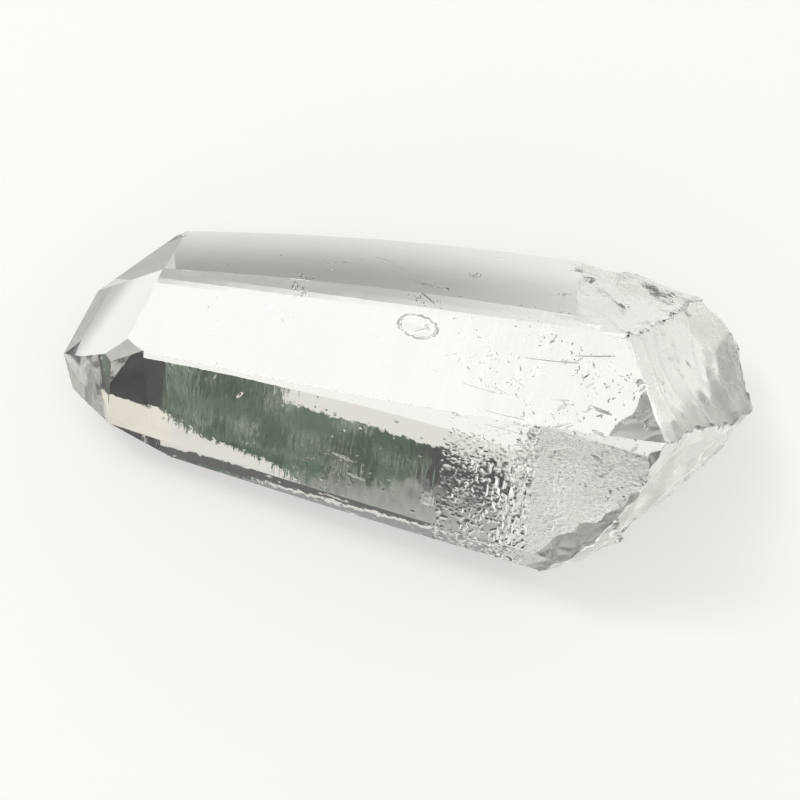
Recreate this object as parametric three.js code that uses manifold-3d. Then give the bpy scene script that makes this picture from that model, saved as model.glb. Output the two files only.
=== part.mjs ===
// A clear quartz point of the lemurian kind, lying on one of its long faces: a six-sided prism
// that narrows to a pointed end, with fine growth ledges across its long faces and a rough break
// where it came away from the rock. It grew as one crystal, so it is one solid.
//
// Millimetres, +Z up. The crystal lies along X with its point towards -X. The origin is the middle
// of its bounding box, on the surface it lies on.

import * as THREE from 'three';
import { mergeVertices } from 'three/addons/utils/BufferGeometryUtils.js';
import Module from 'manifold-3d';

// ---- driving dimensions -------------------------------------------------------------------

// The lengthwise line that the faces are measured from runs along X at this height.
const CORE_HEIGHT = 14;

// Long faces. turn: which way the face looks, in degrees about the lengthwise line, from the front
// (-Y) over the top. tip, base: its distance from that line at the two stations. bulge: how far
// it swells between them. ledge: depth of its growth ledges.
const TIP_STATION = -36;
const BASE_STATION = 36;
const LONG_FACES = [
  { name: 'top', turn: 82, tip: 7.35, base: 20.2, bulge: 0.15, ledge: 0.09 },
  { name: 'upper back', turn: 136, tip: 5.95, base: 13.8, bulge: 1.2, ledge: 0.12 },
  { name: 'front', turn: 22, tip: 10.65, base: 19.0, bulge: 0.95, ledge: 0.14 },
  { name: 'front bevel', turn: 3, tip: 13.8, base: 21.85, bulge: 0.75, ledge: 0.1 },
  { name: 'lower front', turn: -38, tip: 15.8, base: 24.1, bulge: 0.45, ledge: 0.12 },
  { name: 'lower back', turn: 202, tip: 15.9, base: 16.0, bulge: 2.3, ledge: 0.14 },
];

// Growth ledges run straight across a long face. Their spacing varies between these two.
const LEDGE_SPACING_MIN = 1.1;
const LEDGE_SPACING_MAX = 3.6;
const LEDGE_RISER = 0.12;

// Faces of the pointed end. turn as above. lean: how far the face looks towards -X, in degrees.
// reach: its distance from the lengthwise line's middle point.
const TIP_FACES = [
  { name: 'large top', turn: 93.2, lean: 46.9, reach: 28.64 },
  { name: 'upper back', turn: 132, lean: 36.9, reach: 24.4 },
  { name: 'front', turn: 25.8, lean: 33.6, reach: 28.5 },
  { name: 'front end', turn: 26, lean: 40.6, reach: 31.89 },
  { name: 'small diamond', turn: 45.2, lean: 25.2, reach: 23.8 },
  { name: 'lower back', turn: 228.3, lean: 46.5, reach: 30.75 },
  { name: 'lower front', turn: 322, lean: 22.5, reach: 27.79 },
  { name: 'under', turn: 262, lean: 38, reach: 30.02 },
];

// The break. Each patch is a rough surface near a plane: normal is where it looks, through is a
// point on it. bowl: depth of its smooth hollow. ripple: height of the shell-like waves. grain:
// height of the coarse roughness. fine: height of the fine roughness.
const BREAK_PATCHES = [
  { name: 'smooth shell', normal: [0.69, 0.35, 0.63], through: [32.6, 2.5, 23.5],
    bowl: 1.2, ripple: 0.16, grain: 0.5, fine: 0.12 },
  { name: 'front', normal: [0.84, -0.54, 0.04], through: [34.8, -9.0, 14.0],
    bowl: -0.8, ripple: 0.1, grain: 1.0, fine: 0.4 },
  { name: 'front corner', normal: [0.5, -0.86, -0.05], through: [25.2, -19.2, 10.0],
    bowl: -0.4, ripple: 0.1, grain: 0.8, fine: 0.35 },
  { name: 'front undercut', normal: [0.6, -0.42, -0.68], through: [33.6, -11.2, 10.0],
    bowl: 0.8, ripple: 0.2, grain: 0.9, fine: 0.3 },
  { name: 'end undercut', normal: [0.74, 0.1, -0.66], through: [41.6, 5.4, 9.0],
    bowl: 0.6, ripple: 0.2, grain: 0.9, fine: 0.3 },
  { name: 'back chip', normal: [0.08, 0.72, 0.69], through: [27.0, 8.2, 23.1],
    bowl: 0.5, ripple: 0.15, grain: 0.6, fine: 0.35 },
];
const PATCH_SIZE = 64;
const PATCH_CELL = 1.25;
const BOWL_RADIUS = 18;
const RIPPLE_LENGTH = 4.5;
const GRAIN_LENGTH = 7;
const FINE_LENGTH = 2.4;

const BLANK_LENGTH = 104;
const BLANK_SIDE = 70;
const CUTTER_SIZE = 140;

// ---- small helpers ------------------------------------------------------------------------

const wasm = await Module();
wasm.setup();

function solidFrom(geometry) {
  const bare = geometry.clone();
  bare.deleteAttribute('normal');
  bare.deleteAttribute('uv');
  const merged = mergeVertices(bare, 1e-5);
  return new wasm.Manifold(new wasm.Mesh({
    numProp: 3,
    vertProperties: new Float32Array(merged.attributes.position.array),
    triVerts: new Uint32Array(merged.index.array),
  }));
}

function geometryFrom(solid) {
  const mesh = solid.getMesh();
  const geometry = new THREE.BufferGeometry();
  geometry.setAttribute('position', new THREE.BufferAttribute(mesh.vertProperties, 3));
  geometry.setIndex(new THREE.BufferAttribute(mesh.triVerts, 1));
  return geometry;
}

// Where a face looks, from its turn about the lengthwise line and its lean towards the point.
function outward(turn, lean) {
  const t = THREE.MathUtils.degToRad(turn);
  const l = THREE.MathUtils.degToRad(lean);
  return new THREE.Vector3(-Math.sin(l), -Math.cos(l) * Math.cos(t), Math.cos(l) * Math.sin(t));
}

// A repeatable number from 0 to 1 for each corner of a lattice.
function cornerValue(i, j, seed) {
  const v = Math.sin(i * 127.1 + j * 311.7 + seed * 74.7) * 43758.5453;
  return v - Math.floor(v);
}

// Smooth noise from -1 to 1 over a plane.
function noise(u, v, seed) {
  const i = Math.floor(u);
  const j = Math.floor(v);
  const fu = THREE.MathUtils.smoothstep(u - i, 0, 1);
  const fv = THREE.MathUtils.smoothstep(v - j, 0, 1);
  const low = THREE.MathUtils.lerp(cornerValue(i, j, seed), cornerValue(i + 1, j, seed), fu);
  const high = THREE.MathUtils.lerp(cornerValue(i, j + 1, seed), cornerValue(i + 1, j + 1, seed), fu);
  return THREE.MathUtils.lerp(low, high, fv) * 2 - 1;
}

// ---- long faces with growth ledges ----------------------------------------------------------

function faceDistance(face, x) {
  const t = (x - TIP_STATION) / (BASE_STATION - TIP_STATION);
  return THREE.MathUtils.lerp(face.tip, face.base, t) + face.bulge * 4 * t * (1 - t);
}

// The stock outside one long face: a profile along X, with a small step at each ledge, drawn out
// straight across the face.
function longFaceCutter(face, seed) {
  const half = BLANK_LENGTH / 2 + 2;
  const profile = new THREE.Shape();
  profile.moveTo(-half, CUTTER_SIZE / 2);
  let x = -half;
  profile.lineTo(x, faceDistance(face, x));
  for (let count = 0; x < half; count++) {
    const roll = cornerValue(count, seed, 3);
    const next = Math.min(x + THREE.MathUtils.lerp(LEDGE_SPACING_MIN, LEDGE_SPACING_MAX, roll), half);
    const depth = face.ledge * (0.4 + 1.2 * cornerValue(count, seed, 5));
    profile.lineTo(next - LEDGE_RISER, faceDistance(face, next) - depth);
    profile.lineTo(next, faceDistance(face, next));
    x = next;
  }
  profile.lineTo(half, CUTTER_SIZE / 2);
  const cutter = new THREE.ExtrudeGeometry(profile, { depth: CUTTER_SIZE, bevelEnabled: false });
  cutter.translate(0, 0, -CUTTER_SIZE / 2);
  const along = new THREE.Vector3(1, 0, 0);
  const out = outward(face.turn, 0);
  const across = new THREE.Vector3().crossVectors(along, out);
  cutter.applyMatrix4(new THREE.Matrix4().makeBasis(along, out, across));
  cutter.translate(0, 0, CORE_HEIGHT);
  return cutter;
}

// ---- flat faces of the pointed end -------------------------------------------------------------

function placeOutside(geometry, normal, point) {
  const turnTo = new THREE.Quaternion().setFromUnitVectors(new THREE.Vector3(0, 0, 1), normal);
  geometry.applyQuaternion(turnTo);
  geometry.translate(point.x, point.y, point.z);
  return geometry;
}

function tipFaceCutter(face) {
  const normal = outward(face.turn, face.lean);
  const point = normal.clone().multiplyScalar(face.reach).add(new THREE.Vector3(0, 0, CORE_HEIGHT));
  const slab = new THREE.BoxGeometry(CUTTER_SIZE, CUTTER_SIZE, CUTTER_SIZE);
  slab.translate(0, 0, CUTTER_SIZE / 2);
  return placeOutside(slab, normal, point);
}

// ---- the break ---------------------------------------------------------------------------------

// Height of a break patch over its plane: a shallow bowl, shell-like waves that spread from where
// the blow landed, and two sizes of roughness.
function breakHeight(patch, u, v, seed) {
  const bowl = -patch.bowl * Math.exp(-(u * u + v * v) / (BOWL_RADIUS * BOWL_RADIUS));
  const fromBlow = Math.hypot(u - BOWL_RADIUS, v - BOWL_RADIUS / 2);
  const ripple = patch.ripple * Math.sin(fromBlow * 2 * Math.PI / RIPPLE_LENGTH);
  const grain = patch.grain * noise(u / GRAIN_LENGTH, v / GRAIN_LENGTH, seed);
  const fine = patch.fine * noise(u / FINE_LENGTH, v / FINE_LENGTH, seed + 7);
  return bowl + ripple + grain + fine;
}

function breakCutter(patch, seed) {
  const cells = Math.round(PATCH_SIZE / PATCH_CELL);
  const slab = new THREE.BoxGeometry(PATCH_SIZE, PATCH_SIZE, PATCH_SIZE, cells, cells, 1);
  slab.translate(0, 0, PATCH_SIZE / 2);
  const position = slab.attributes.position;
  for (let i = 0; i < position.count; i++) {
    if (position.getZ(i) < PATCH_CELL) {
      position.setZ(i, breakHeight(patch, position.getX(i), position.getY(i), seed));
    }
  }
  const normal = new THREE.Vector3(...patch.normal).normalize();
  return placeOutside(slab, normal, new THREE.Vector3(...patch.through));
}

// ---- the crystal ---------------------------------------------------------------------------------

function quartzCrystal() {
  const blank = new THREE.BoxGeometry(BLANK_LENGTH, BLANK_SIDE, BLANK_SIDE);
  blank.translate(0, 0, BLANK_SIDE / 2);
  const cutters = [
    ...LONG_FACES.map(longFaceCutter),
    ...TIP_FACES.map(tipFaceCutter),
    ...BREAK_PATCHES.map(breakCutter),
  ];
  let solid = solidFrom(blank);
  for (const cutter of cutters) {
    solid = solid.subtract(solidFrom(cutter));
  }
  const geometry = geometryFrom(solid);
  geometry.computeBoundingBox();
  const centre = geometry.boundingBox.getCenter(new THREE.Vector3());
  geometry.translate(-centre.x, -centre.y, 0);
  return geometry;
}

const clearQuartz = new THREE.MeshStandardMaterial({
  color: 0xf4f6f5,
  roughness: 0.04,
  metalness: 0,
  transparent: true,
  opacity: 0.35,
});

const group = new THREE.Group();
const crystal = new THREE.Mesh(quartzCrystal(), clearQuartz);
crystal.name = 'quartz_crystal';
group.add(crystal);

export default group;
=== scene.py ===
# %% [markdown]
# A clear quartz point of the lemurian kind, lying on one of its long faces. This lesson makes its
# finish: the fine growth lines across the long faces, the shell-like break at the thick end, the
# small cracks inside, and the light that a clear stone needs before it can be seen at all.
#
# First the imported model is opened. It gives the crystal's size and place, and everything below is
# in the same metres, with the point of the crystal towards -X and the table at z = 0.

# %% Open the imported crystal
import math

import bmesh
import bpy
from mathutils import Matrix, Vector, noise


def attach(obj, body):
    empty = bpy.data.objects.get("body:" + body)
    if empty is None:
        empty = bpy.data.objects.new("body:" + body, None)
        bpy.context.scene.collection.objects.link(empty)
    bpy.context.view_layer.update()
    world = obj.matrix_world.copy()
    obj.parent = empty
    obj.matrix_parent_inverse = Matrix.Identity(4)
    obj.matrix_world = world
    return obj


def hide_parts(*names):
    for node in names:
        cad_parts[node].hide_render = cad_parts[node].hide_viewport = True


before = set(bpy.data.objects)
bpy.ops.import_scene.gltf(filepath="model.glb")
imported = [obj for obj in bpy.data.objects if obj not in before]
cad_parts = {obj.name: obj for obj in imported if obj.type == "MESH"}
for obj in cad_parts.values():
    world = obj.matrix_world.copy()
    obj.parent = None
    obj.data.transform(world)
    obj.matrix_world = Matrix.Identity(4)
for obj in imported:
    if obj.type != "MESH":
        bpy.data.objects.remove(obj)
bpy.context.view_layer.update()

MM = 0.001


# %% [markdown]
# A quartz crystal is bounded by flat faces, and each one is known by where it looks and how far it
# lies from the middle. A stone like this could be sculpted, or cut from a block. Cutting is chosen,
# because a cut always leaves a closed body with straight, sharp edges, as real growth does.
#
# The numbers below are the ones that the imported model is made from. Only the faces that decide what
# is seen inside the stone differ: the two faces under the point lean further forward, so that the flat
# underside runs further towards the point, the lower front stands out more there, and two tip faces are
# turned by two degrees.
#
# "turn" is the way a face looks about the lengthwise line, in degrees from the front, over the top.
# "lean" tips it towards the pointed end. "reach" is its distance from the line's middle.

# %% Name the faces of the crystal
CORE = Vector((0.2302, 1.2074, 14.0))
TIP_STATION, BASE_STATION = -36.0, 36.0

LONG_FACES = {
    "top": dict(turn=82, tip=7.35, base=20.2, bulge=0.15),
    "upper back": dict(turn=136, tip=5.95, base=13.8, bulge=1.2),
    "front": dict(turn=22, tip=10.65, base=19.0, bulge=0.95),
    "front bevel": dict(turn=3, tip=13.8, base=21.85, bulge=0.75),
    "lower front": dict(turn=-38, tip=18.0, base=22.8, bulge=0.0),
    "lower back": dict(turn=202, tip=15.9, base=16.0, bulge=2.3),
    "underside": dict(turn=270, tip=14.0, base=14.0, bulge=0.0),
}
TIP_FACES = {
    "large top tip": dict(turn=93.2, lean=46.9, reach=28.64),
    "upper back tip": dict(turn=132, lean=36.9, reach=24.4),
    "front tip": dict(turn=23.8, lean=33.6, reach=28.5),
    "front end tip": dict(turn=24, lean=40.6, reach=31.89),
    "small diamond": dict(turn=45.2, lean=25.2, reach=23.8),
    "lower back tip": dict(turn=228.3, lean=62, reach=37.96),
    "lower front tip": dict(turn=322, lean=22.5, reach=27.79),
    "under tip": dict(turn=262, lean=62, reach=40.24),
}
BREAK_PATCHES = {
    "smooth shell": dict(normal=(0.69, 0.35, 0.63), through=(32.6, 2.5, 23.5),
                         bowl=1.2, ripple=0.16, grain=0.5, fine=0.12),
    "front break": dict(normal=(0.84, -0.54, 0.04), through=(34.8, -9.0, 14.0),
                        bowl=-0.8, ripple=0.1, grain=1.0, fine=0.4),
    "front corner": dict(normal=(0.5, -0.86, -0.05), through=(25.2, -19.2, 10.0),
                         bowl=-0.4, ripple=0.1, grain=0.8, fine=0.35),
    "front undercut": dict(normal=(0.6, -0.42, -0.68), through=(33.6, -11.2, 10.0),
                           bowl=0.8, ripple=0.2, grain=0.9, fine=0.3),
    "end undercut": dict(normal=(0.74, 0.1, -0.66), through=(41.6, 5.4, 9.0),
                         bowl=0.6, ripple=0.2, grain=0.9, fine=0.3),
    "back chip": dict(normal=(0.08, 0.72, 0.69), through=(27.0, 8.2, 23.1),
                      bowl=0.5, ripple=0.15, grain=0.6, fine=0.35),
}


def looks_towards(turn, lean=0.0):
    t, l = math.radians(turn), math.radians(lean)
    return Vector((-math.sin(l), -math.cos(l) * math.cos(t), math.cos(l) * math.sin(t)))


print(len(LONG_FACES), "long faces,", len(TIP_FACES), "tip faces,", len(BREAK_PATCHES), "breaks")


# %% [markdown]
# Every face gets the same small record: where it looks, a point on it, and a rule for how high its
# surface stands at any place. The cutting step only needs the flat part. The rule for the height is
# used later, when the lines and the roughness go on.
#
# The long faces swell a little between their two ends, so their flat distance changes along X.

# %% Describe each surface once
SHELL_RADIUS = 18.0
RIPPLE_LENGTH = 4.5
GRAIN_LENGTH = 7.0
FINE_LENGTH = 2.4


def corner_value(i, j, seed):
    v = math.sin(i * 127.1 + j * 311.7 + seed * 74.7) * 43758.5453
    return v - math.floor(v)


def patch_noise(u, v, seed):
    """Smooth noise from -1 to 1 over a plane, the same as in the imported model."""
    i, j = math.floor(u), math.floor(v)
    a, b = u - i, v - j
    a, b = a * a * (3 - 2 * a), b * b * (3 - 2 * b)
    low = corner_value(i, j, seed) * (1 - a) + corner_value(i + 1, j, seed) * a
    high = corner_value(i, j + 1, seed) * (1 - a) + corner_value(i + 1, j + 1, seed) * a
    return (low * (1 - b) + high * b) * 2 - 1


class Surface:
    """One face of the crystal, in millimetres."""

    def __init__(self, name, kind, normal, origin, seed):
        self.name, self.kind, self.seed = name, kind, seed
        self.normal = normal.normalized()
        self.origin = origin
        if kind == "break":
            turn_to = Vector((0, 0, 1)).rotation_difference(self.normal)
            self.u, self.v = turn_to @ Vector((1, 0, 0)), turn_to @ Vector((0, 1, 0))
        else:
            self.v = Vector((1, 0, 0)).cross(self.normal).normalized()
            self.u = self.v.cross(self.normal).normalized()

    def flat(self, p):
        """How far p stands outside the plain face."""
        return self.normal.dot(p - self.origin)


surfaces = []
for name, f in LONG_FACES.items():
    surfaces.append(Surface(name, "long", looks_towards(f["turn"]), CORE.copy(), len(surfaces)))
    surfaces[-1].shape = f
for name, f in TIP_FACES.items():
    n = looks_towards(f["turn"], f["lean"])
    surfaces.append(Surface(name, "tip", n, CORE + n * f["reach"], len(surfaces)))
for index, (name, f) in enumerate(BREAK_PATCHES.items()):
    through = Vector(f["through"]) + Vector((CORE.x, CORE.y, 0))
    surfaces.append(Surface(name, "break", Vector(f["normal"]), through, index))
    surfaces[-1].shape = f
number = {s.name: i for i, s in enumerate(surfaces)}


def long_reach(shape, x):
    """Distance of a long face from the lengthwise line, at x."""
    t = (x - CORE.x - TIP_STATION) / (BASE_STATION - TIP_STATION)
    return shape["tip"] * (1 - t) + shape["base"] * t + shape["bulge"] * 4 * t * (1 - t)


print(len(surfaces), "surfaces described")


# %% [markdown]
# Now the stone itself. A block is cut by one plane after another, and each cut is closed with a new
# face, so the body is watertight from start to end. A swelling long face is cut by a few planes that
# touch its curve, because planes that all lean the same way outwards never cross badly.
#
# Each face remembers which surface it belongs to, in a whole-number layer. Later steps ask that layer
# instead of guessing from the shape.

# %% Cut the stone from a block
BLOCK = (104.0, 76.0, 76.0)
BLOCK_DROP = 10.0
TOUCH_STATIONS = (-38, -22, -6, 10, 26, 42)
SHORT_STEP = 0.1

bm = bmesh.new()
bmesh.ops.create_cube(bm, size=1.0)
bmesh.ops.scale(bm, vec=BLOCK, verts=bm.verts)
bmesh.ops.translate(bm, vec=(0, 0, BLOCK[2] / 2 - BLOCK_DROP), verts=bm.verts)
face_of = bm.faces.layers.int.new("surface")


def cut_away(plane_point, plane_normal, index):
    """Cuts off what lies outside the plane and closes the cut."""
    everything = bm.verts[:] + bm.edges[:] + bm.faces[:]
    bmesh.ops.bisect_plane(bm, geom=everything, dist=1e-6, plane_co=plane_point,
                           plane_no=plane_normal, clear_outer=True)
    bmesh.ops.remove_doubles(bm, verts=bm.verts, dist=0.003)
    rim = [e for e in bm.edges if e.is_boundary]
    if rim:
        for face in bmesh.ops.contextual_create(bm, geom=rim)["faces"]:
            face[face_of] = index


for index, s in enumerate(surfaces):
    if s.kind != "long":
        cut_away(s.origin, s.normal, index)
        continue
    for x in TOUCH_STATIONS:
        here, near = long_reach(s.shape, x), long_reach(s.shape, x + SHORT_STEP)
        slope = (near - here) / SHORT_STEP
        tilt = (s.normal - Vector((slope, 0, 0))).normalized()
        cut_away(Vector((x, CORE.y, CORE.z)) + s.normal * here, tilt, index)

bmesh.ops.recalc_face_normals(bm, faces=bm.faces)
print("cut stone:", len(bm.faces), "faces, open edges:", sum(e.is_boundary for e in bm.edges))


# %% [markdown]
# Growth lines run straight across a long face, at right angles to the length of the crystal. They
# need edges to live on, so the long faces are sliced crosswise at uneven steps and then lengthwise a
# few times. The breaks get an even mesh of small cells instead.
#
# The slices only go through the faces that need them. That keeps the tip faces whole and flat.

# %% Slice the faces for their detail
SLICE_STEPS = (0.14, 0.34)
LINE_STEP = {"underside": 0.42, "front": 1.1, "top": 0.7, "upper back": 0.9}
LINE_STEP_OTHERS = 1.9
BREAK_CELL = 0.62
HALF_LENGTH = 44.0


def parts_of(faces):
    """The faces with their edges and corners, as the cutting operator wants them."""
    edges = {e for f in faces for e in f.edges}
    verts = {v for e in edges for v in e.verts}
    return list(verts) + list(edges) + list(faces)


def slice_faces(wanted, direction, places):
    """Cuts lines into the wanted faces where direction . point reaches each of the places."""
    for place in places:
        hit = [f for f in bm.faces if wanted(f)
               and min(v.co.dot(direction) for v in f.verts) < place - 1e-4
               and max(v.co.dot(direction) for v in f.verts) > place + 1e-4]
        if hit:
            bmesh.ops.bisect_plane(bm, geom=parts_of(hit), dist=1e-5,
                                   plane_co=direction * place, plane_no=direction)


def spread(low, high, step):
    count = max(1, round((high - low) / step))
    return [low + (high - low) * (k + 0.5) / count for k in range(count)]


slices, x, k = [], -HALF_LENGTH, 0
while x < HALF_LENGTH:
    x += SLICE_STEPS[0] + (SLICE_STEPS[1] - SLICE_STEPS[0]) * corner_value(k, 11, 2)
    slices.append(x)
    k += 1

long_ids = {number[name] for name in LONG_FACES}
ahead = [f for f in bm.faces if f[face_of] in long_ids]
for x in slices:
    hit = [f for f in ahead if f.is_valid and min(v.co.x for v in f.verts) < x - 1e-4
           and max(v.co.x for v in f.verts) > x + 1e-4]
    if not hit:
        continue
    out = bmesh.ops.bisect_plane(bm, geom=parts_of(hit), dist=1e-5, plane_co=(x, 0, 0),
                                 plane_no=(1, 0, 0))["geom"]
    pieces = {f for f in out if isinstance(f, bmesh.types.BMFace)} | set(ahead)
    ahead = [f for f in pieces if f.is_valid and max(v.co.x for v in f.verts) > x + 1e-4]
print("after", len(slices), "crosswise slices:", len(bm.faces), "faces")

for name in LONG_FACES:
    i, s = number[name], surfaces[number[name]]
    across = [v.co.dot(s.v) for f in bm.faces if f[face_of] == i for v in f.verts]
    step = LINE_STEP.get(name, LINE_STEP_OTHERS)
    slice_faces(lambda f: f[face_of] == i, s.v, spread(min(across), max(across), step))
for name in BREAK_PATCHES:
    i, s = number[name], surfaces[number[name]]
    for direction in (s.u, s.v):
        along = [v.co.dot(direction) for f in bm.faces if f[face_of] == i for v in f.verts]
        if along:
            slice_faces(lambda f: f[face_of] == i, direction,
                        spread(min(along), max(along), BREAK_CELL))
print("all slices:", len(bm.faces), "faces, open edges:", sum(e.is_boundary for e in bm.edges))


# %% [markdown]
# The height rules. A growth face is a staircase of very low steps: most of it lies within a few
# hundredths of a millimetre, but glass shows even that, because a slope of half a degree moves the
# picture that is seen through it. The break is a bowl with shell-like waves and two sizes of
# roughness, as glass-like stone breaks, with rows of small dents where splinters came off.
#
# The underside has three zones. It is finely lined under the point, etched with small pits in the
# middle, and worn rough at the thick end. The zones can be seen through the front face.

# %% Write the height rule of each surface
GROWTH = {
    "top": dict(fine=0.0011, line=0.004, swell=0.012),
    "upper back": dict(fine=0.0008, line=0.003, swell=0.012),
    "front": dict(fine=0.0036, line=0.006, swell=0.014),
    "front bevel": dict(fine=0.0030, line=0.010, swell=0.014),
    "lower front": dict(fine=0.0030, line=0.010, swell=0.014),
    "lower back": dict(fine=0.0015, line=0.005, swell=0.014),
    "underside": dict(fine=0.0036, line=0.004, swell=0.010),
}
FINE_LINE, LINE_GAP, SWELL_GAP = 0.45, 1.5, 7.0
FINE_LENGTH_ACROSS, LINE_LENGTH, SWELL_LENGTH = 3.5, 9.0, 24.0
ETCHED = (8.0, 18.5)
WORN_FROM = 19.5
PIT_DEPTH = 0.03
DENT_SIZE, DENT_MIDDLE, DENTS_ELSEWHERE = 3.0, 0.3, 0.3
DENTS = {"smooth shell": 0.0, "back chip": 0.6}
ROUNDED = {
    "top": [dict(towards="upper back", drop=0.10, width=1.3)],
    "upper back": [dict(towards="lower back", drop=0.05, width=0.8)],
}


def growth_height(s, p):
    """Low uneven steps that run across the face, in millimetres."""
    g, across = GROWTH[s.name], p.dot(s.v)
    fine = noise.noise(Vector((p.x / FINE_LINE, across / FINE_LENGTH_ACROSS, s.seed * 9.1)))
    line = noise.noise(Vector((p.x / LINE_GAP, across / LINE_LENGTH, s.seed * 5.7 + 40)))
    swell = noise.noise(Vector((p.x / SWELL_GAP, across / SWELL_LENGTH, s.seed * 3.3 + 80)))
    height = g["fine"] * fine + g["line"] * line + g["swell"] * swell
    if s.name == "underside":
        height -= sum(g.values())
        etched = within(p.x, *ETCHED, 0.5)
        rough = within(p.x, ETCHED[1], 60.0, 2.0)
        pit = noise.noise(Vector((p.x / 0.34, p.y / 0.8, 3.0)))
        fleck = noise.noise(Vector((p.x / 0.5, p.y / 0.7, 23.0)))
        height -= PIT_DEPTH * max(0.0, fleck - 0.52)
        patch = noise.noise(Vector((p.x / 2.2, p.y / 3.0, 7.0)))
        height -= (PIT_DEPTH * etched * max(0.0, pit + 0.5 * patch)
                   + PIT_DEPTH * rough * max(0.0, pit + 0.3))
    return height


def within(x, low, high, soft):
    """1 between low and high, falling to 0 over the soft distance outside them."""
    return max(0.0, min(1.0, (x - low) / soft + 1, (high - x) / soft + 1))


def break_height(s, p):
    """A bowl, shell-like waves and two sizes of roughness, in millimetres."""
    f, d = s.shape, p - s.origin
    u, v = d.dot(s.u), d.dot(s.v)
    bowl = -f["bowl"] * math.exp(-(u * u + v * v) / SHELL_RADIUS ** 2)
    from_blow = math.hypot(u - SHELL_RADIUS, v - SHELL_RADIUS / 2)
    ripple = f["ripple"] * math.sin(from_blow * 2 * math.pi / RIPPLE_LENGTH)
    grain = f["grain"] * patch_noise(u / GRAIN_LENGTH, v / GRAIN_LENGTH, s.seed)
    fine = f["fine"] * patch_noise(u / FINE_LENGTH, v / FINE_LENGTH, s.seed + 7)
    dent = noise.voronoi(Vector((u / DENT_SIZE, v / DENT_SIZE, s.seed * 3.0)))[0][0]
    dents = DENTS.get(s.name, DENTS_ELSEWHERE) * (dent * dent - DENT_MIDDLE)
    return bowl + ripple + grain + fine + dents


def standing_out(s, p):
    """How far p stands outside the finished surface s."""
    if s.kind == "tip":
        return s.flat(p)
    if s.kind == "break":
        return s.flat(p) - break_height(s, p)
    height = long_reach(s.shape, p.x) + growth_height(s, p)
    for edge in ROUNDED.get(s.name, ()):
        other = surfaces[number[edge["towards"]]]
        depth = max(0.0, long_reach(other.shape, p.x) - other.flat(p))
        height -= edge["drop"] * math.exp(-depth / edge["width"])
    return s.flat(p) - height


print("the growth lines are at most",
      max(sum(g.values()) for g in GROWTH.values()), "mm high")


# %% [markdown]
# A corner between two faces has to lie on both, and a corner between three on all three. So each
# corner is moved by the shortest step that brings it onto every surface it touches. That is a small
# least-squares sum. Three rounds are enough, because the surfaces are nearly flat.
#
# One pair needs care. The chip at the back lies almost flat against the face behind it, so the line
# where the two meet would wander far. Its rim stays on the growth face instead, and the rest of the
# chip is kept just below that face.

# %% Move every corner onto its surfaces
SETTLE_ROUNDS = 3
DAMPING = 0.002
NEARLY_FLAT = 0.96
CHIP_BELOW = 0.02


def settle(p, touched):
    for _ in range(SETTLE_ROUNDS):
        normals = Matrix([s.normal for s in touched])
        gap = Vector([-standing_out(s, p) for s in touched])
        square = normals @ normals.transposed()
        for i in range(len(touched)):
            square[i][i] += DAMPING
        p = p + normals.transposed() @ (square.inverted() @ gap)
    return p


def settle_pair(p, a, b):
    """The same for two surfaces, written out because most corners are of this kind."""
    c = a.normal.dot(b.normal)
    d = 1 - c * c + DAMPING
    for _ in range(SETTLE_ROUNDS):
        ga, gb = -standing_out(a, p), -standing_out(b, p)
        p = p + a.normal * ((ga - c * gb) / d) + b.normal * ((gb - c * ga) / d)
    return p


def apart(touched):
    """Leaves out a break that lies nearly flat against a growth face it meets."""
    kept = [s for s in touched if s.kind != "break"]
    for s in touched:
        if s.kind == "break" and all(s.normal.dot(k.normal) < NEARLY_FLAT for k in kept):
            kept.append(s)
    return kept


chip, behind = surfaces[number["back chip"]], surfaces[number["upper back"]]
for vert in bm.verts:
    touched = [surfaces[i] for i in sorted({f[face_of] for f in vert.link_faces})]
    touched = apart(touched)[:4]
    if len(touched) == 1:
        s = touched[0]
        vert.co -= s.normal * standing_out(s, vert.co)
        if s is chip:
            vert.co -= behind.normal * max(0.0, standing_out(behind, vert.co) + CHIP_BELOW)
    elif len(touched) == 2:
        vert.co = settle_pair(vert.co.copy(), *touched)
    elif len(touched) == 3:
        vert.co = settle(vert.co.copy(), touched)
print("lowest corner was at", round(min(v.co.z for v in bm.verts), 3), "mm")
for vert in bm.verts:
    vert.co.z = max(vert.co.z, 0.0)
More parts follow.
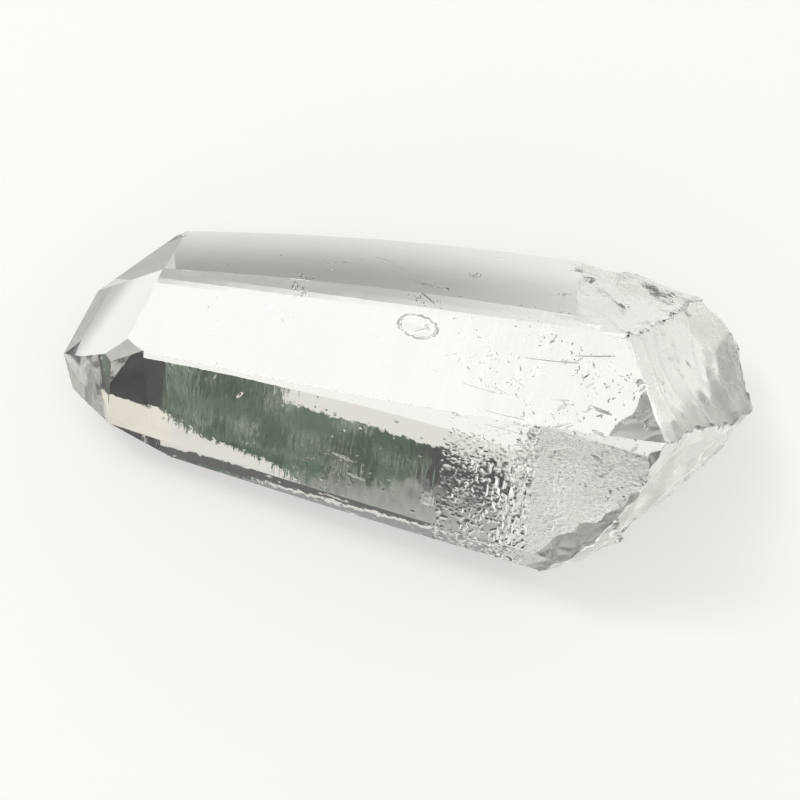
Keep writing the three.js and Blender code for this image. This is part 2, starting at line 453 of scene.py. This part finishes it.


# %% [markdown]
# A natural stone is never quite empty. Small flat cracks open while it grows or when it is knocked, and
# they show because light is thrown back where the stone meets the thin hollow. So each crack is made as
# a hollow: a very thin, lens-shaped skin inside the stone, with its outside turned towards the hollow.
#
# The larger cracks are placed one by one. The finest ones lie in veils, so for them only the two ends of
# a veil are given, and repeatable random numbers scatter the flaws between the ends. Smudges are small
# patches of short cracks close under the chip at the back; their dark is painted shade, a dark tint on
# the thin cracks.

# %% List the cracks
CRACKS = [  # x, y, z, length, width, turn in the face, tilt: millimetres and degrees
    (-13.5, 2.9, 21.8, 1.8, 1.1, 30, 55), (-14.2, 4.0, 19.9, 1.3, 1.2, 100, 40),
    (-12.8, 2.8, 21.0, 1.5, 0.9, -20, 62), (-13.9, 2.4, 20.6, 0.8, 0.6, 60, 50),
    (1.8, 0.3, 23.3, 4.8, 2.7, -6, 22), (2.4, 0.2, 22.4, 2.2, 1.2, 20, 50),
    (6.5, 10.1, 18.3, 1.5, 2.6, 0, 48), (6.8, 9.4, 18.0, 1.2, 1.6, 30, 66),
    (-5.3, 11.6, 14.9, 3.8, 0.5, -28, 60), (-3.2, 9.6, 16.6, 2.6, 0.4, -32, 55),
    (1.8, 5.0, 21.7, 4.2, 0.5, -30, 60), (-11.1, 6.4, 19.2, 1.1, 0.6, 35, 55),
    (-24.1, 4.8, 18.2, 0.9, 0.9, 0, 25), (-18.5, 9.9, 15.3, 0.9, 0.4, -50, 60),
    (8.5, 17.0, 11.2, 1.4, 0.4, 35, 60), (16.5, 6.9, 21.8, 1.9, 0.7, 30, 50),
    (18.0, 7.6, 21.6, 0.9, 0.9, 70, 50), (13.6, 2.5, 25.6, 1.0, 0.5, 20, 60),
    (-24.4, -0.2, 18.5, 0.5, 0.3, -60, 65), (-23.6, 0.8, 19.7, 0.2, 0.7, 0, 65),
    (-23.0, -2.3, 17.4, 1.2, 0.8, 40, 40), (-16.8, 1.3, 18.1, 1.2, 0.7, 25, 45),
    (-14.7, -0.8, 20.1, 0.9, 0.3, -35, 65), (-13.6, 0.3, 19.5, 0.8, 0.2, 95, 65),
    (-3.1, -0.8, 20.3, 1.6, 0.3, -4, 66), (-1.0, -4.9, 22.0, 1.2, 0.3, -10, 66),
    (6.4, -2.4, 22.7, 1.8, 0.3, 15, 66), (10.7, -6.0, 23.0, 4.6, 0.35, -8, 50),
    (14.2, -9.3, 24.4, 5.2, 0.35, -3, 50), (23.3, -4.0, 25.4, 1.5, 0.5, 40, 60),
    (18.2, -2.0, 26.0, 7.2, 0.35, 4, 45), (23.3, -0.6, 26.4, 5.0, 0.35, 10, 45),
    (13.1, -6.0, 23.4, 2.6, 0.3, -14, 66), (20.2, -6.3, 24.6, 2.4, 0.5, 8, 60),
    (25.0, -6.9, 25.3, 3.0, 0.9, -12, 55), (20.9, -9.0, 22.5, 3.4, 1.2, 25, 50),
    (25.7, -9.3, 22.7, 2.6, 1.6, -30, 45), (27.4, -10.6, 19.5, 3.0, 1.4, 50, 50),
    (-18.2, -9.0, 17.5, 1.4, 0.8, 60, 40), (-21.5, -7.6, 18.6, 0.8, 0.4, 70, 50),
    (33.0, 6.0, 15.0, 1.6, 0.5, -50, 60), (29.4, -1.1, 21.7, 1.5, 1.0, 30, 45),
    (9.0, -1.5, 21.0, 1.6, 0.3, 30, 66), (15.0, -4.0, 22.0, 2.0, 0.3, -30, 66),
    (4.8, -4.2, 21.5, 1.3, 0.25, -20, 66),
]
VEILS = [  # where a veil starts and ends, how wide it is, and how many tiny flaws it holds
    ((12, 3.0, 24.5), (30, -2.0, 21.0), 3.2, 60), ((16, -8.5, 23.0), (30, -11.0, 17.0), 4.0, 70),
    ((-2, 6.5, 20.5), (9, 1.5, 23.0), 1.4, 26), ((20, -3.0, 18.0), (33, -1.0, 14.0), 6.0, 70),
    ((18.0, 18.2, 13.4), (21.0, 15.5, 15.6), 1.2, 30), ((21.5, 12.2, 18.9), (24.6, 8.4, 21.3), 1.6, 44),
    ((27.8, 16.8, 12.6), (31.0, 14.2, 14.3), 2.4, 60), ((36.8, 7.4, 12.4), (38.4, 6.6, 12.4), 0.8, 12),
    ((29.5, 6.8, 20.0), (33.0, 3.0, 17.8), 3.0, 40), ((-12, 8.0, 16.5), (-6, 12.5, 13.5), 1.6, 14),
    ((-14.3, 3.2, 20.6), (-12.6, 2.6, 21.4), 1.2, 22), ((6.2, 9.4, 18.3), (6.9, 11.0, 17.6), 0.8, 16),
    ((16.6, 7.2, 21.5), (18.6, 7.8, 21.2), 1.0, 16), ((5.0, -1.0, 22.8), (17, -4.5, 23.5), 5.0, 40),
]
# The smudge cracks are narrow, so their dark is the painted shade of the narrow-crack finish.
SMUDGES = [  # middle and width of a patch of short dark cracks just under the back chip, and their number
    ((24.4, 9.9, 20.2), 2.4, 34), ((29.6, 16.4, 13.7), 2.6, 36), ((18.7, 16.5, 15.1), 1.4, 14),
    ((20.3, 14.2, 17.4), 1.6, 12), ((32.4, 13.6, 14.9), 1.6, 10), ((27.6, 17.0, 13.8), 1.8, 16),
]
FLAKE = dict(place=(1.8, 0.3, 23.3), length=4.8, width=2.7, turn=-6)
RIM_DASHES, FAN_DASHES = 34, 5
print(len(CRACKS), "single cracks,", sum(v[3] for v in VEILS), "flaws in", len(VEILS), "veils,",
      len(SMUDGES), "smudges, 1 flake")

# %% [markdown]
# All hollows are made in a mesh of their own and joined to the stone at the end. That is much quicker
# than adding them to the large mesh one by one. A crack that would come too close to the outside is left
# out, so no hollow ever breaks through the skin.

# %% Put the small cracks inside
CRACK_THICKNESS = 0.05
DARK_BELOW = 0.36
DEEP_ENOUGH, ROOM_BY_LENGTH, ROOM_AT_LEAST = 0.7, 0.44, 0.15
SMALL = 0.75
RAGGED, RAG_SIZE = 0.25, 1.7
UPWARD = Vector((0.0, -0.33, 0.94)).normalized()
SIDEWAYS = UPWARD.cross(Vector((1, 0, 0))).normalized()
# The second number marks the narrow cracks, which carry painted shade.
crack_id, painted_shade_id = len(surfaces), len(surfaces) + 1
hollows = bmesh.new()
hollow_of = hollows.faces.layers.int.new("surface")


def depth_in_stone(p):
    return -max(standing_out(s, p) for s in surfaces)


def add_crack(place, length, width, turn, tilt):
    """A thin lens-shaped hollow. Narrow cracks get a dark tint: painted shade for the dark their sides
    would mirror.
    """
    place, t, k = Vector(place), math.radians(turn), math.radians(tilt)
    if depth_in_stone(place) < min(DEEP_ENOUGH, ROOM_BY_LENGTH * length + ROOM_AT_LEAST):
        return 0
    along = Vector((1, 0, 0)) * math.cos(t) + SIDEWAYS * math.sin(t)
    out = UPWARD * math.cos(k) + UPWARD.cross(along) * math.sin(k)
    axes = Matrix((along, out.cross(along), out)).transposed()
    finer = 2 if length > SMALL else 1
    ball = bmesh.ops.create_icosphere(hollows, subdivisions=finer, radius=1.0)["verts"]
    for vert in ball:
        c = vert.co
        rag = noise.noise(Vector((c.x * RAG_SIZE, c.y * RAG_SIZE, place.x + 5 * place.y)))
        ragged = 1 + RAGGED * rag
        flat = Vector((c.x * length * ragged, c.y * width * ragged, c.z * CRACK_THICKNESS)) / 2
        vert.co = axes @ flat + place
    skin = {f for v in ball for f in v.link_faces}
    for face in skin:
        # Cracks narrower than DARK_BELOW get the dark tint of painted shade.
        face[hollow_of] = painted_shade_id if width < DARK_BELOW else crack_id
    bmesh.ops.reverse_faces(hollows, faces=list(skin))
    return 1


made = sum(add_crack(c[:3], *c[3:]) for c in CRACKS)
print(made, "single cracks made")

# %% [markdown]
# The flake is the one large flat crack under the top face. What is seen of it is its rim and a few lines
# that fan out from one side, so short dashes are set round an oval, each at a slightly different
# distance from the middle.

# %% Set the flake, the veils and the smudges
turn = math.radians(FLAKE["turn"])
for k in range(RIM_DASHES + FAN_DASHES):
    on_rim = k < RIM_DASHES
    a = 2 * math.pi * (k + 0.8 * corner_value(k, 3, 31)) / RIM_DASHES
    far = 0.46 + 0.07 * corner_value(k, 9, 33) if on_rim else 0.26
    x, y = math.cos(a) * FLAKE["length"] * far, math.sin(a) * FLAKE["width"] * far
    way = math.degrees(math.atan2(math.cos(a) * FLAKE["width"], -math.sin(a) * FLAKE["length"]))
    place = (Vector(FLAKE["place"]) + Vector((1, 0, 0)) * (x * math.cos(turn) - y * math.sin(turn))
             + SIDEWAYS * (x * math.sin(turn) + y * math.cos(turn)))
    made += add_crack(place, 0.4 + 0.6 * corner_value(k, 5, 32), 0.30 if on_rim else 0.12,
                      way + (FLAKE["turn"] if on_rim else 70), 8)

for n, (start, end, wide, count) in enumerate(VEILS):
    for k in range(count):
        a, b, c, d = (corner_value(k, n, q) for q in (21, 22, 23, 24))
        aside = (b - 0.5) * wide
        place = Vector(start).lerp(Vector(end), a)
        place += Vector((0, aside, 0.8 * math.sin(a * 7 + n) + 0.3 * aside))
        size = 0.25 + 0.75 * c * c
        made += add_crack(place, size, size * (0.3 + 0.5 * d), 360 * d, 30 + 35 * b)

for n, (middle, wide, count) in enumerate(SMUDGES):
    for k in range(count):
        a, b, c = (corner_value(k, n, q) - 0.5 for q in (41, 42, 43))
        place = Vector(middle) + Vector((a + 0.3 * b, 0.7 * b, -0.7 * b)) * wide
        # At a width of 0.34 each smudge crack takes the dark tint of painted shade.
        made += add_crack(place, 0.75 + 0.7 * c, 0.34, 110 + 120 * c, -25)

shells = bpy.data.meshes.new("hollows")
hollows.to_mesh(shells)
hollows.free()
bm.from_mesh(shells)
bpy.data.meshes.remove(shells)
face_of = bm.faces.layers.int["surface"]
print(made, "cracks and flaws inside the stone")

# %% [markdown]
# The finished mesh carries one finish for each kind of surface. A growth face is shiny and finely lined,
# a face of the pointed end is plain and shiny, a break is frosted, and the face that the stone lies on
# is etched in the middle and worn at the thick end. Only the breaks and the cracks are shaded smooth,
# and every border between two surfaces stays a sharp edge.

# %% Make the mesh
FINISHES = ("clear_quartz", "lined_quartz", "broken_quartz", "chipped_quartz", "shell_quartz",
            "etched_quartz", "worn_quartz", "painted_shade_crack")
BREAK_FINISH = {"smooth shell": "shell_quartz", "back chip": "chipped_quartz"}
break_ids = {number[name] for name in BREAK_PATCHES}
tip_ids = {number[name] for name in TIP_FACES}


def finish_of(i, x):
    """The finish of a face that belongs to surface i and lies at x millimetres."""
    if i == painted_shade_id:
        return "painted_shade_crack"
    if i == crack_id or i in tip_ids:
        return "clear_quartz"
    if i == number["underside"] and x > ETCHED[0]:
        return "worn_quartz" if x > WORN_FROM else "etched_quartz"
    if i in break_ids:
        return BREAK_FINISH.get(surfaces[i].name, "broken_quartz")
    return "lined_quartz"


bmesh.ops.triangulate(bm, faces=bm.faces)
for face in bm.faces:
    i = face[face_of]
    face.smooth = i in break_ids or i >= crack_id
    face.material_index = FINISHES.index(finish_of(i, face.calc_center_median().x))
for edge in bm.edges:
    edge.smooth = len({f[face_of] for f in edge.link_faces}) == 1
open_edges = sum(not e.is_manifold for e in bm.edges)
bmesh.ops.scale(bm, vec=(MM, MM, MM), verts=bm.verts)

mesh = bpy.data.meshes.new("clear_crystal")
bm.to_mesh(mesh)
bm.free()
crystal = bpy.data.objects.new("clear_crystal", mesh)
bpy.context.scene.collection.objects.link(crystal)
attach(crystal, "root")
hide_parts("quartz_crystal")
print("clear crystal:", len(mesh.polygons), "triangles, open edges:", open_edges)


# %% [markdown]
# Clear quartz needs three plain values: it lets all light through, it bends light by 1.544, and it
# swallows very little on the way. The absorption colour is almost white, so the stone stays
# water-clear even through its full thickness.
#
# The helpers below make noise with a real size in millimetres, for all finishes.

# %% Clear quartz
BENDING = 1.544
ABSORPTION_COLOUR = (0.955, 0.965, 0.95, 1)
ABSORPTION_DENSITY = 4.0


def quartz(name, roughness=0.0, through=1.0):
    """Clear stone. Returns its nodes, its links and its shader."""
    m = bpy.data.materials.new(name)
    m.use_nodes = True
    nodes, links = m.node_tree.nodes, m.node_tree.links
    shader = nodes["Principled BSDF"]
    shader.inputs["Base Color"].default_value = (1, 1, 1, 1)
    shader.inputs["Roughness"].default_value = roughness
    shader.inputs["IOR"].default_value = BENDING
    shader.inputs["Transmission Weight"].default_value = through
    absorb = nodes.new("ShaderNodeVolumeAbsorption")
    absorb.inputs["Color"].default_value = ABSORPTION_COLOUR
    absorb.inputs["Density"].default_value = ABSORPTION_DENSITY
    links.new(absorb.outputs["Volume"], nodes["Material Output"].inputs["Volume"])
    mesh.materials.append(m)
    return nodes, links, shader


def stretched_noise(nodes, links, size, detail=2.0):
    """Noise whose grains have the given size along X, Y and Z, in millimetres."""
    where = nodes.new("ShaderNodeTexCoord")
    stretch = nodes.new("ShaderNodeMapping")
    stretch.inputs["Scale"].default_value = [1000.0 / s for s in size]
    grain = nodes.new("ShaderNodeTexNoise")
    grain.inputs["Scale"].default_value = 1.0
    grain.inputs["Detail"].default_value = detail
    links.new(where.outputs["Object"], stretch.inputs["Vector"])
    links.new(stretch.outputs["Vector"], grain.inputs["Vector"])
    return grain.outputs["Fac"]


def ramp(nodes, links, value, start, end, low, high):
    """Turns start-to-end of a value into low-to-high, with soft ends."""
    node = nodes.new("ShaderNodeMapRange")
    node.interpolation_type = "SMOOTHSTEP"
    for socket, number_in in zip(("From Min", "From Max", "To Min", "To Max"), (start, end, low, high)):
        node.inputs[socket].default_value = number_in
    links.new(value, node.inputs["Value"])
    return node.outputs["Result"]


def bumped(nodes, links, shader, grain_size, height, detail=2.0):
    """Fine relief with grains of the given size and height, in millimetres."""
    bump = nodes.new("ShaderNodeBump")
    bump.inputs["Distance"].default_value = height * MM
    links.new(stretched_noise(nodes, links, grain_size, detail), bump.inputs["Height"])
    links.new(bump.outputs["Normal"], shader.inputs["Normal"])


def uneven_gloss(nodes, links, shader, smooth, rough, patch):
    """Roughness that wanders between two values, in patches of the given size in millimetres."""
    cloud = stretched_noise(nodes, links, (patch, patch, patch))
    links.new(ramp(nodes, links, cloud, 0.35, 0.65, smooth, rough), shader.inputs["Roughness"])


quartz("clear_quartz")
print("clear quartz: bends light by", BENDING)

# %% [markdown]
# The other finishes are the same clear stone with a different skin. The lines on the growth faces are
# far finer than any mesh could hold, so the finest of them are relief in the shader. A break scatters a
# little of the light in its splintered skin, so there a share of the light comes back white instead of
# going through. The narrow cracks get a dark tint, painted shade that stands in for the dark their thin
# hollows would mirror.

# %% Lined, broken and worn quartz
nodes, links, shader = quartz("lined_quartz")
bumped(nodes, links, shader, (0.16, 6.0, 6.0), 0.0024)

nodes, links, shader = quartz("broken_quartz", 0.1, through=0.66)
uneven_gloss(nodes, links, shader, 0.02, 0.22, 2.0)
bumped(nodes, links, shader, (0.9, 0.9, 0.9), 0.10, 4.0)

nodes, links, shader = quartz("chipped_quartz", 0.05, through=0.92)
bumped(nodes, links, shader, (1.3, 0.9, 0.9), 0.30, 4.0)

nodes, links, shader = quartz("shell_quartz", 0.3, through=0.76)
uneven_gloss(nodes, links, shader, 0.12, 0.40, 3.0)
bumped(nodes, links, shader, (0.6, 0.6, 0.6), 0.03, 3.0)

nodes, links, shader = quartz("etched_quartz", 0.02)
bumped(nodes, links, shader, (0.14, 0.6, 0.6), 0.002)

nodes, links, shader = quartz("worn_quartz", 0.25)
uneven_gloss(nodes, links, shader, 0.10, 0.42, 3.0)
bumped(nodes, links, shader, (0.5, 0.5, 0.5), 0.05, 4.0)

# The narrow cracks are tinted dark: painted shade in place of the dark that their thin hollows would
# mirror.
nodes, links, shader = quartz("painted_shade_crack", 0.15)
shader.inputs["Base Color"].default_value = (0.12, 0.117, 0.108, 1)
print("finishes:", [m.name for m in mesh.materials])


# %% [markdown]
# The studio. A clear stone has no colour of its own, so all that is seen of it is the room: what its
# faces mirror and what they bend into view. The floor is pale and matt, and it glows a little, like a
# light table. Without that glow the floor under the stone would be black, because the light that a real
# stone gathers there is left out of the sum to keep the picture free of noise.

# %% Floor and room
FLOOR_COLOUR = (0.465, 0.464, 0.457)
FLOOR_GLOW = 0.53
ROOM_COLOUR, ROOM_GLOW = (1, 0.975, 0.90, 1), 0.73


def matt(name, colour, glow=0.0, glow_colour=(1, 1, 1)):
    m = bpy.data.materials.new(name)
    m.use_nodes = True
    b = m.node_tree.nodes["Principled BSDF"]
    b.inputs["Base Color"].default_value = (*colour, 1)
    b.inputs["Roughness"].default_value = 0.9
    b.inputs["Specular IOR Level"].default_value = 0.0
    b.inputs["Emission Color"].default_value = (*glow_colour, 1)
    b.inputs["Emission Strength"].default_value = glow
    return m


def sheet(name, centre, size, faces_to, material, along=(1, 0, 0)):
    """A flat rectangle in metres that faces one way, with its first side near to along."""
    z = Vector(faces_to).normalized()
    x = (Vector(along) - z * z.dot(Vector(along))).normalized()
    turn = Matrix((x, z.cross(x), z)).transposed()
    grid = bmesh.new()
    bmesh.ops.create_grid(grid, x_segments=1, y_segments=1, size=0.5)
    data = bpy.data.meshes.new(name)
    grid.to_mesh(data)
    grid.free()
    data.materials.append(material)
    ob = bpy.data.objects.new(name, data)
    ob.matrix_world = Matrix.Translation(centre) @ turn.to_4x4() @ Matrix.Diagonal((*size, 1, 1))
    bpy.context.scene.collection.objects.link(ob)
    return ob


def only_in_the_stone(ob):
    """Such a sheet is seen as a mirror image or through the stone, and nowhere else."""
    ob.visible_camera = ob.visible_diffuse = ob.visible_shadow = False
    return ob


floor = matt("pale_floor", FLOOR_COLOUR, FLOOR_GLOW, (1, 0.998, 0.985))
sheet("studio_floor", (0, 0, -0.1 * MM), (3, 3), (0, 0, 1), floor)
world = bpy.data.worlds.new("room")
world.use_nodes = True
world.node_tree.nodes["Background"].inputs["Color"].default_value = ROOM_COLOUR
world.node_tree.nodes["Background"].inputs["Strength"].default_value = ROOM_GLOW
bpy.context.scene.world = world
print("floor glows", FLOOR_GLOW, "and the room", ROOM_GLOW)

# %% [markdown]
# Four soft lights make the pale sheen. Each one stands where a face mirrors it: the softbox in the large
# top face, one sheet of light on the floor in the left face, one in the upper back face, and one under
# the stone, where the gathered light would fall. Their light fades across the sheet, and that fade is
# what turns a flat face into a soft band of grey.

# %% Soft lights
SOFTBOX_WAY = Vector((-0.371, 0.152, 0.920)).normalized()
SOFTBOX_AWAY, SOFTBOX_GLOW = 0.8, 10.2
BACK_TURN = math.radians(16)


def fading(name, weak, strong, from_y, to_y, right=None, colour=(1, 0.99, 0.97)):
    """Light that grows from weak to strong between two places along the sheet's own Y, from -0.5 to
    0.5. right = (glow, from_x, to_x) brings it to another glow along the sheet's own X."""
    m = matt(name, (0, 0, 0), 1.0, colour)
    nodes, links = m.node_tree.nodes, m.node_tree.links
    where = nodes.new("ShaderNodeTexCoord")
    split = nodes.new("ShaderNodeSeparateXYZ")
    links.new(where.outputs["Object"], split.inputs["Vector"])
    glow = ramp(nodes, links, split.outputs["Y"], from_y, to_y, weak, strong)
    if right:
        mix = nodes.new("ShaderNodeMix")
        links.new(ramp(nodes, links, split.outputs["X"], right[1], right[2], 0, 1), mix.inputs["Factor"])
        links.new(glow, mix.inputs["A"])
        mix.inputs["B"].default_value = right[0]
        glow = mix.outputs["Result"]
    links.new(glow, nodes["Principled BSDF"].inputs["Emission Strength"])
    return m


softbox = only_in_the_stone(sheet(
    "softbox", SOFTBOX_WAY * SOFTBOX_AWAY, (0.44, 0.24), -SOFTBOX_WAY,
    fading("softbox", 0.0, SOFTBOX_GLOW, -0.40, -0.26, right=(3.1, -0.15, 0.25))))
softbox.visible_diffuse = True
only_in_the_stone(sheet(
    "side_light", Vector((-81.4, 18.3, 0.3)) * MM, (0.046, 0.020), (0, 0, 1),
    fading("side_light", 0.8, 3.3, -0.40, -0.15), along=(-0.423, 0.906, 0)))
only_in_the_stone(sheet(
    "back_light", Vector((3.4, 47.9, 0.3)) * MM, (0.094, 0.028), (0, 0, 1),
    fading("back_light", 1.2, 0.02, -0.34, 0.05, right=(0.8, -0.1, 0.5)),
    along=(math.cos(BACK_TURN), math.sin(BACK_TURN), 0)))
only_in_the_stone(sheet(
    "under_light", Vector((0, 0, -0.05)) * MM, (0.056, 0.092), (0, 0, 1),
    fading("under_light", 0.88, 0.51, -0.42, 0.12, colour=(1, 0.985, 0.935)), along=(0, 1, 0)))
print("softbox is", SOFTBOX_AWAY, "m away")

# %% [markdown]
# The front face works like a mirror inside the stone. Light that enters there is thrown back by the
# underside and leaves through the upper back, so the front shows what stands behind the stone: dark
# and green things, with pale light around them. Seven cards stand in for those. Each card's outline is
# drawn in its own plane, and the growth lines of the stone give its mirror image the saw-toothed border.
#
# Five cards stand about 75 mm away. The black and the cream one stand only 22 mm away, because light that
# enters near the point leaves by two faces, and only close by do both beams meet the same card.

# %% Cards behind the stone
CARD_WAY = Vector((0, 0.61, 0.79)).normalized()
CARD_UP = Vector((0, -0.79, 0.61)).normalized()


def card(name, away, outline, colour, glow=0.0):
    """A card across CARD_WAY. Its outline runs along X and along CARD_UP, in millimetres."""
    flat = bmesh.new()
    corners = [flat.verts.new((CARD_WAY * away + Vector((u, 0, 0)) + CARD_UP * v) * MM)
               for u, v in outline]
    bmesh.ops.contextual_create(flat, geom=corners)
    data = bpy.data.meshes.new(name)
    flat.to_mesh(data)
    flat.free()
    data.materials.append(matt(name, (0, 0, 0) if glow else colour, glow, colour))
    ob = bpy.data.objects.new(name, data)
    bpy.context.scene.collection.objects.link(ob)
    return only_in_the_stone(ob)


card("black_card", 22, [(-48, -12), (-30.5, -12), (-30.5, -0.8), (-33, -1.0), (-36, -1.4),
                        (-48, -2.5)], (0.012, 0.010, 0.012))
card("cream_card", 22.5, [(-48, -2.5), (-36, -1.4), (-33, -1.0), (-31.2, -0.8), (-29.5, 0.2),
                          (-29.5, 10), (-48, 10)], (0.78, 0.74, 0.64), 1.0)
green = card("green_card", 75, [
    (-50, -16), (-14, -16), (-13.5, -8.2), (-6.8, -7.2), (0.1, -7.1), (3.2, -6.5), (8.6, -6.2),
    (8.6, 12), (0, 10.5), (-6, 9.5), (-9, 7.5), (-12.8, 4.2), (-17.8, 3.1), (-21.2, 2.4),
    (-25.6, 2.0), (-28.9, 0.4), (-30.8, -0.8), (-50, -5)], (0.036, 0.084, 0.046))
card("grey_card", 76, [(8.2, -6.3), (9.3, -6.0), (14, -6.2), (19.5, -6.5), (21.5, -2), (22, 4),
                       (22, 12), (8.2, 12)], (0.020, 0.020, 0.022))
card("white_card", 75, [(24.5, -12), (54, -12), (54, 16), (24.5, 16)], (1.0, 0.985, 0.95), 1.1)
for low, high, shade in ((-18.4, -15.9, 0.06), (-15.1, -12.4, 0.30)):
    card("strip_card", 74, [(-36, low), (32, low + 1.5), (32, high + 1.5), (-36, high)],
         (shade, shade, shade), 0.9)
print("7 cards stand behind the stone")

# %% [markdown]
# Leaves are not one even green, so the green card gets soft blotches a few millimetres wide, and over
# them some pale streaks.

# %% Give the green card its blotches
DARK_GREEN, LIGHT_GREEN = (0.010, 0.042, 0.016, 1), (0.10, 0.165, 0.105, 1)
PALE = (0.50, 0.53, 0.48, 1)
nodes, links = green.data.materials[0].node_tree.nodes, green.data.materials[0].node_tree.links
blotches = nodes.new("ShaderNodeMix")
blotches.data_type = "RGBA"
blotches.inputs[6].default_value, blotches.inputs[7].default_value = DARK_GREEN, LIGHT_GREEN
cloud = stretched_noise(nodes, links, (2.6, 7.0, 7.0), 4.0)
links.new(ramp(nodes, links, cloud, 0.40, 0.62, 0, 1), blotches.inputs[0])
streaks = nodes.new("ShaderNodeMix")
streaks.data_type = "RGBA"
streaks.inputs[7].default_value = PALE
thin = stretched_noise(nodes, links, (0.9, 7.0, 7.0), 3.0)
links.new(ramp(nodes, links, thin, 0.54, 0.70, 0, 1), streaks.inputs[0])
links.new(blotches.outputs[2], streaks.inputs[6])
links.new(streaks.outputs[2], nodes["Principled BSDF"].inputs["Base Color"])
print("green card is mottled and streaked")

# %% [markdown]
# The camera looks down at 65 degrees from the front, a little from the right, through a long lens. Rays
# need many turns inside the stone before they come out, so the limit on bounces is high.

# %% Camera
AZIMUTH, ELEVATION, DISTANCE = math.radians(12.5), math.radians(65), 0.235
LOOK_AT = Vector((0.27, -4.36, 13.0)) * MM
BOUNCES = 20

towards = Vector((math.sin(AZIMUTH) * math.cos(ELEVATION), -math.cos(AZIMUTH) * math.cos(ELEVATION),
                  math.sin(ELEVATION)))
lens = bpy.data.cameras.new("camera")
lens.lens, lens.sensor_width = 85, 36
camera = bpy.data.objects.new("camera", lens)
camera.location = LOOK_AT + towards * DISTANCE
camera.rotation_euler = (-towards).to_track_quat("-Z", "Y").to_euler()
scene = bpy.context.scene
scene.collection.objects.link(camera)
scene.camera = camera
scene.view_settings.view_transform = "Standard"
scene.cycles.max_bounces = scene.cycles.transmission_bounces = BOUNCES
scene.cycles.caustics_refractive = scene.cycles.caustics_reflective = False
print("camera stands", DISTANCE, "m from the stone")
